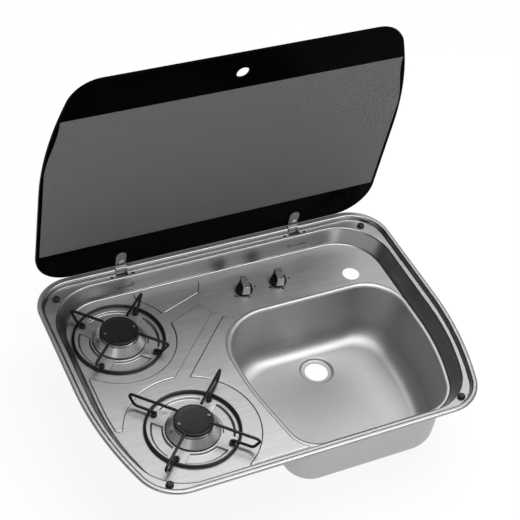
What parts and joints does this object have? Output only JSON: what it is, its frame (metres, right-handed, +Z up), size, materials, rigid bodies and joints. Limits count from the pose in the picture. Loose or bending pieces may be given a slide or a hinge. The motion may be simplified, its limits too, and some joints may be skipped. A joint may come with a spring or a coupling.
{
  "type": "hob and sink combo",
  "caption": "Drop-in gas hob and sink in a pressed stainless top, with wire pan supports, push-and-turn knobs and a hinged black glass lid, shown standing open.",
  "frame": {"origin": "centre of the worktop cut-out, in the plane of the worktop", "axes": "+X to the right along the width, +Y to the back and the lid hinge, +Z up"},
  "size_m": [0.6, 0.4484, 0.5646],
  "materials": {
    "top_steel": "satin brushed stainless sheet",
    "lid_black_glass": "black toughened glass with a printed grey dot screen",
    "black_rubber": "matt black rubber",
    "hinge_steel": "bright stainless",
    "dark_fixings": "dark oxide",
    "zinc_steel": "zinc plated",
    "cast_aluminium": "cast and turned",
    "black_enamel": "matt black enamel",
    "probe_steel": "plain steel",
    "brass": "plain machined brass",
    "knob_plastic": "matt black",
    "knob_silver": "silver inlay"
  },
  "bodies": {
    "unit": {"cap_screws": "hinge_steel", "front_burner_body": "cast_aluminium", "front_burner_cap": "black_enamel", "front_burner_carrier": "zinc_steel", "front_burner_head": "cast_aluminium", "front_gas_pipe": "cast_aluminium", "front_injector": "brass", "front_lead": "brass", "front_mixing_tube": "zinc_steel", "front_ring_nut": "cast_aluminium", "front_support_feet": "black_rubber", "front_support_fingers": "black_enamel", "front_support_ring": "black_enamel", "front_thermocouple": "probe_steel", "gas_inlet": "zinc_steel", "gas_rail": "zinc_steel", "gas_valve_left": "brass", "gas_valve_right": "brass", "hinge_bracket_left": "zinc_steel", "hinge_bracket_right": "zinc_steel", "hinge_pins": "hinge_steel", "hinge_rivets": "zinc_steel", "inlet_nut": "brass", "ledge_screws": "dark_fixings", "lid_bumpers": "black_rubber", "pressed_top": "top_steel", "rear_burner_body": "cast_aluminium", "rear_burner_cap": "black_enamel", "rear_burner_carrier": "zinc_steel", "rear_burner_head": "cast_aluminium", "rear_gas_pipe": "cast_aluminium", "rear_injector": "brass", "rear_lead": "brass", "rear_mixing_tube": "zinc_steel", "rear_ring_nut": "cast_aluminium", "rear_support_feet": "black_rubber", "rear_support_fingers": "black_enamel", "rear_support_ring": "black_enamel", "rear_thermocouple": "probe_steel", "rim_seal": "black_rubber", "sink_bowl": "top_steel", "valve_bracket": "zinc_steel", "valve_screws": "zinc_steel"},
    "lid": {"lid_glass": "lid_black_glass", "hinge_strap_left": "hinge_steel", "hinge_strap_right": "hinge_steel", "strap_pads": "black_rubber", "strap_screws": "hinge_steel", "strap_caps": "hinge_steel"},
    "left_push": {"push_sleeve_left": "knob_plastic"},
    "left_knob": {"knob_left": "knob_plastic", "knob_inlay_left": "knob_silver", "valve_stem_left": "brass"},
    "right_push": {"push_sleeve_right": "knob_plastic"},
    "right_knob": {"knob_right": "knob_plastic", "knob_inlay_right": "knob_silver", "valve_stem_right": "brass"}
  },
  "joints": [
    {"name": "lid_hinge", "type": "hinge", "parent": "unit", "child": "lid", "pos_m": [0, 0.215, -0.0045], "axis": [1, 0, 0], "range_deg": [-9, 81.1]},
    {"name": "left_push", "type": "slide", "parent": "unit", "child": "left_push", "axis": [0, 0, -1], "range_m": [0, 0.003], "stiffness_N_per_m": 1500, "springref_m": -0.002},
    {"name": "left_turn", "type": "hinge", "parent": "left_push", "child": "left_knob", "pos_m": [0.03, 0.135, -0.025], "axis": [0, 0, 1], "range_deg": [0, 180]},
    {"name": "right_push", "type": "slide", "parent": "unit", "child": "right_push", "axis": [0, 0, -1], "range_m": [0, 0.003], "stiffness_N_per_m": 1500, "springref_m": -0.002},
    {"name": "right_turn", "type": "hinge", "parent": "right_push", "child": "right_knob", "pos_m": [0.09, 0.135, -0.025], "axis": [0, 0, 1], "range_deg": [0, 180]}
  ]
}
